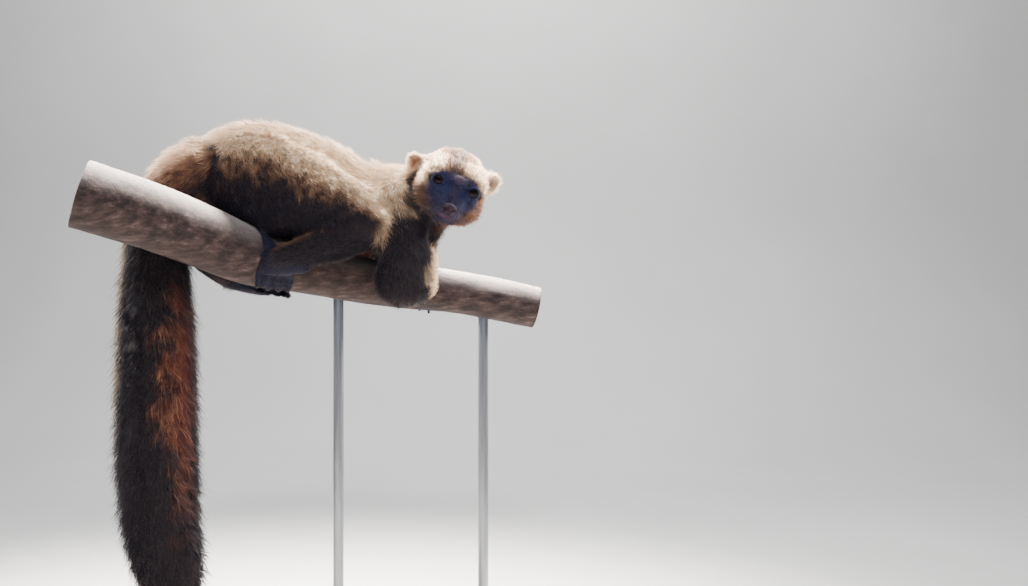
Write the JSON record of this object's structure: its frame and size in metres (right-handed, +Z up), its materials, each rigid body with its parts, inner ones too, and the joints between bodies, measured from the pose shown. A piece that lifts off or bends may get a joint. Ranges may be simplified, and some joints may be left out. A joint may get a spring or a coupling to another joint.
{
  "type": "golden bamboo lemur on a display stand",
  "caption": "Small brown lemur with a black face and a long plush tail, crouched along a cut bough that rods hold above a flat base, looking to its side.",
  "frame": {"origin": "centre of the underside of the stand's base", "axes": "+Z up; +X the way the lemur's body points along the bough; -Y the way it looks, so its right side is the -Y side"},
  "size_m": [0.4419, 0.2481, 0.5256],
  "materials": {
    "golden_brown_coat": "dense soft golden-brown fur, greyer on the limbs, pale gold on brow, cheeks and throat",
    "rufous_tail_coat": "long plush reddish-brown fur, darker towards the tip",
    "dark_bare_skin": "bare or very short-haired blackish skin of nose, hands and feet",
    "brown_eye": "wet dark brown eye",
    "bare_bough": "smooth weathered grey-brown bark, sawn ends",
    "dark_board": "dark stained wood, satin varnish",
    "satin_steel": "plain satin steel rod"
  },
  "bodies": {
    "root": {"head": "golden_brown_coat", "neck": "golden_brown_coat", "trunk": "golden_brown_coat", "ear_left": "golden_brown_coat", "ear_right": "golden_brown_coat", "upper_arm_left": "golden_brown_coat", "upper_arm_right": "golden_brown_coat", "forearm_left": "golden_brown_coat", "forearm_right": "golden_brown_coat", "thigh_left": "golden_brown_coat", "thigh_right": "golden_brown_coat", "shank_left": "golden_brown_coat", "shank_right": "golden_brown_coat", "tail_root": "rufous_tail_coat", "tail_middle": "rufous_tail_coat", "tail_tip": "rufous_tail_coat", "nose": "dark_bare_skin", "foot_left": "dark_bare_skin", "foot_right": "dark_bare_skin", "hand_left": "dark_bare_skin", "hand_right": "dark_bare_skin", "eye_left": "brown_eye", "eye_right": "brown_eye", "perch_bough": "bare_bough", "stand_base": "dark_board", "stand_rod_rear": "satin_steel", "stand_rod_front": "satin_steel"}
  },
  "joints": []
}
